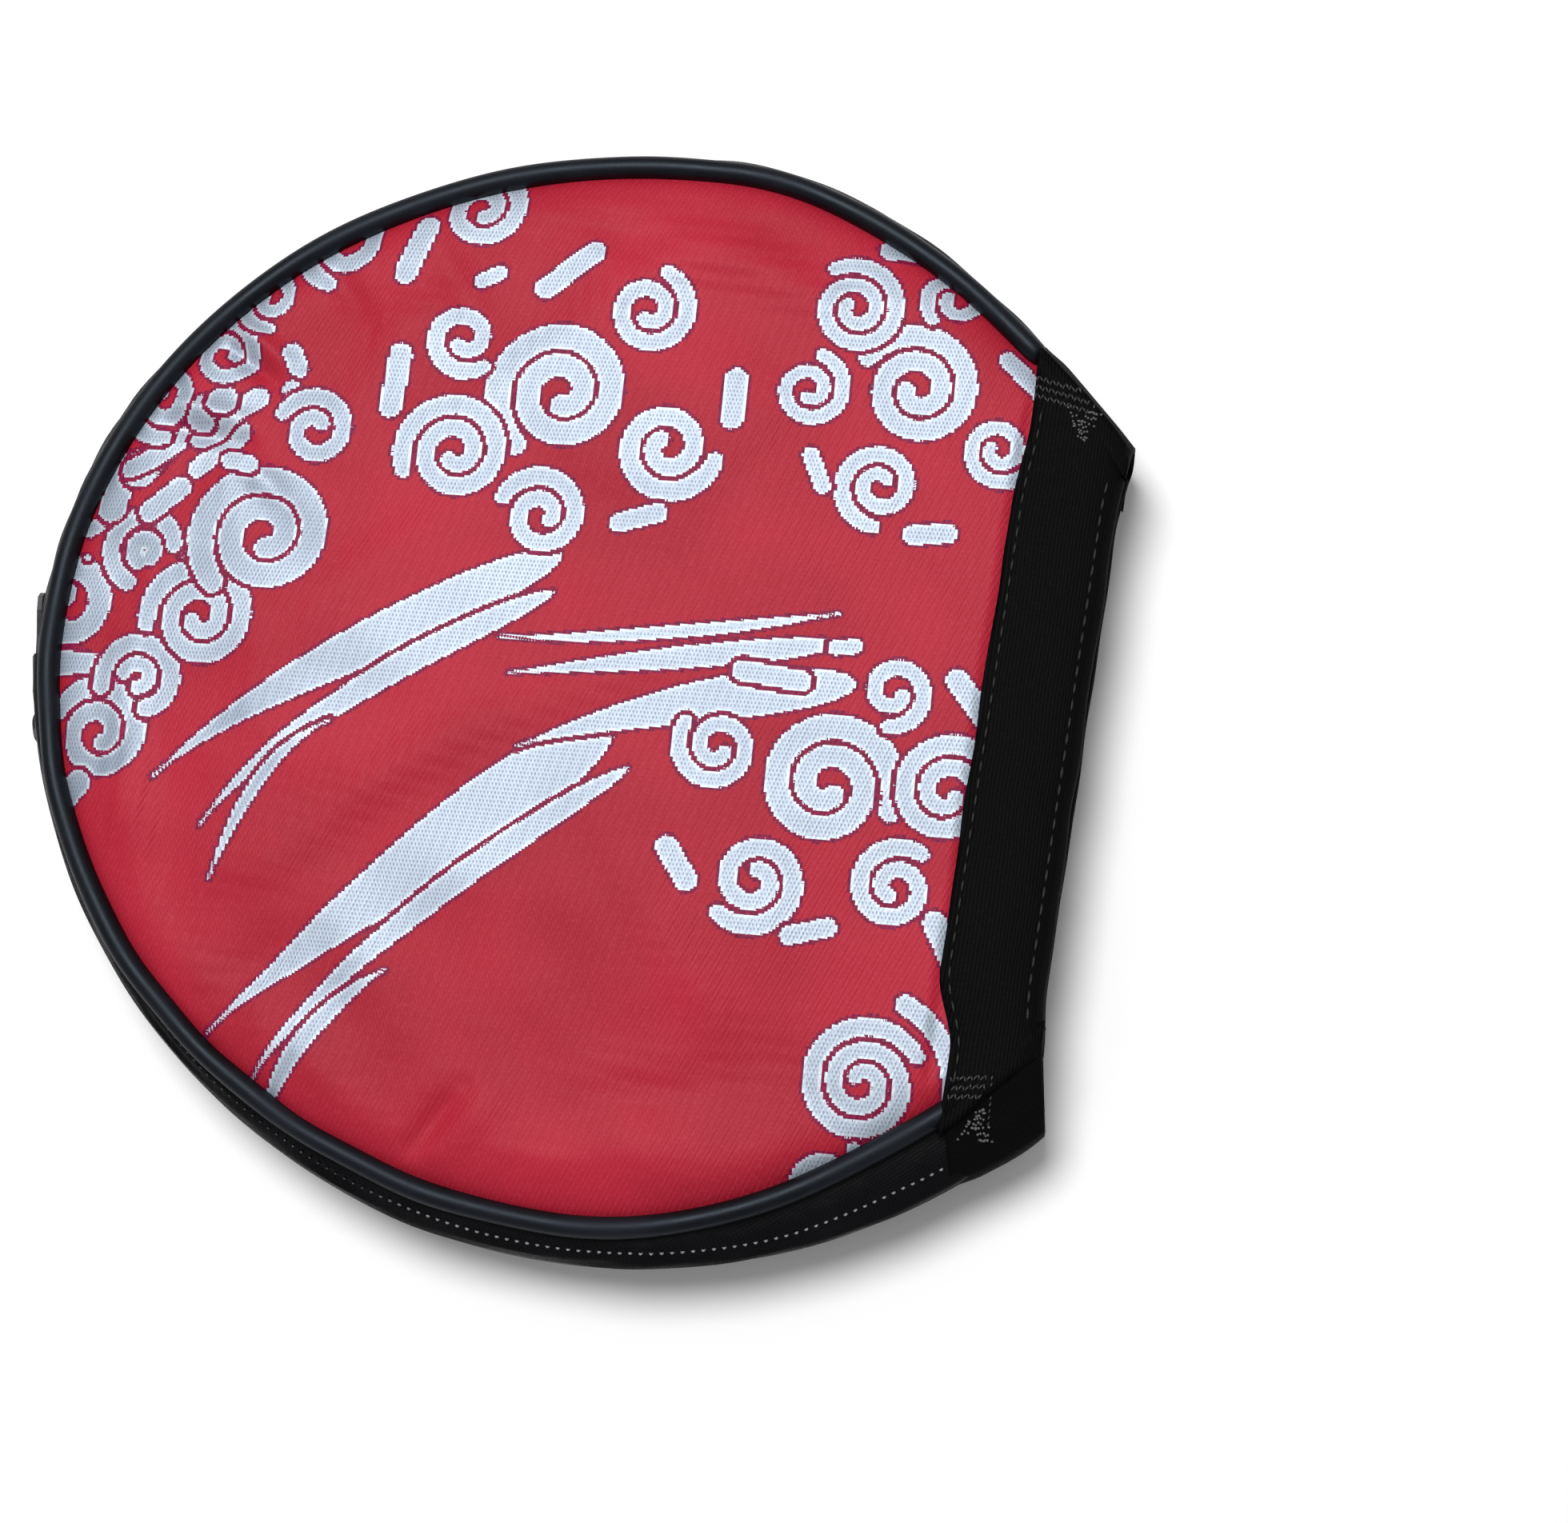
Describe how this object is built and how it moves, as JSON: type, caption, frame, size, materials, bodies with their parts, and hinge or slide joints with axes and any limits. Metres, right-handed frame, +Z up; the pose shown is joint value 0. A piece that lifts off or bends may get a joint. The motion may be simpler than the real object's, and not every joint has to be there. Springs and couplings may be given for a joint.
{
  "type": "paddle case",
  "caption": "Soft zipped half cover for a table-tennis blade: rounded padded panels, piped edges, black gusset with a side zip, and a wide bound neck opening for the handle.",
  "frame": {"origin": "on the back panel's face, on the case's centre line, 4.8 mm nearer the neck than the widest part of its seam line", "axes": "+Z up from the back panel to the front panel, +Y towards the rounded head, -Y towards the open neck, -X towards the zipped side"},
  "size_m": [0.1727, 0.168, 0.0219],
  "materials": {
    "woven_red": "red figured weave with silver scrolls",
    "black_cloth": "coated black cloth",
    "lining": "thin black lining",
    "foam": "soft open-cell padding",
    "piping": "glossy soft vinyl",
    "cord": "white filler cord",
    "gusset": "coated black cloth, soft sheen",
    "binding": "black binding tape",
    "thread": "polyester thread",
    "zip_tape": "woven zip tape",
    "zip_teeth": "moulded",
    "zip_metal": "satin",
    "slider": "black enamel"
  },
  "bodies": {
    "cover": {"front_panel": "woven_red", "front_foam": "foam", "front_lining": "lining", "back_panel": "black_cloth", "back_foam": "foam", "back_lining": "lining", "front_piping": "piping", "front_piping_cord": "cord", "back_piping": "piping", "back_piping_cord": "cord", "front_seam_binding": "binding", "back_seam_binding": "binding", "plain_gusset": "gusset", "zip_gusset_front": "gusset", "zip_gusset_back": "gusset", "zip_tape_front": "zip_tape", "zip_tape_back": "zip_tape", "zip_teeth_front": "zip_teeth", "zip_teeth_back": "zip_teeth", "zip_bottom_stop": "zip_metal", "zip_top_stops": "zip_metal", "zip_end_patch": "binding", "neck_band_front": "binding", "neck_band_back": "binding", "neck_wrap_zip_side": "binding", "neck_wrap_plain_side": "binding", "bar_tacks_zip_side": "thread", "bar_tacks_plain_side": "thread"},
    "slider": {"slider_body": "slider"},
    "pull": {"pull_tab": "slider"}
  },
  "joints": [
    {"name": "zip_slide", "type": "hinge", "parent": "cover", "child": "slider", "pos_m": [0.0094, 0.0062, 0.0108], "axis": [0, 0, 1], "range_deg": [0, 102]},
    {"name": "pull_swing", "type": "hinge", "parent": "slider", "child": "pull", "pos_m": [-0.01934, 0.1002, 0.0108], "axis": [0, 0, 1], "range_deg": [0, 165]}
  ]
}
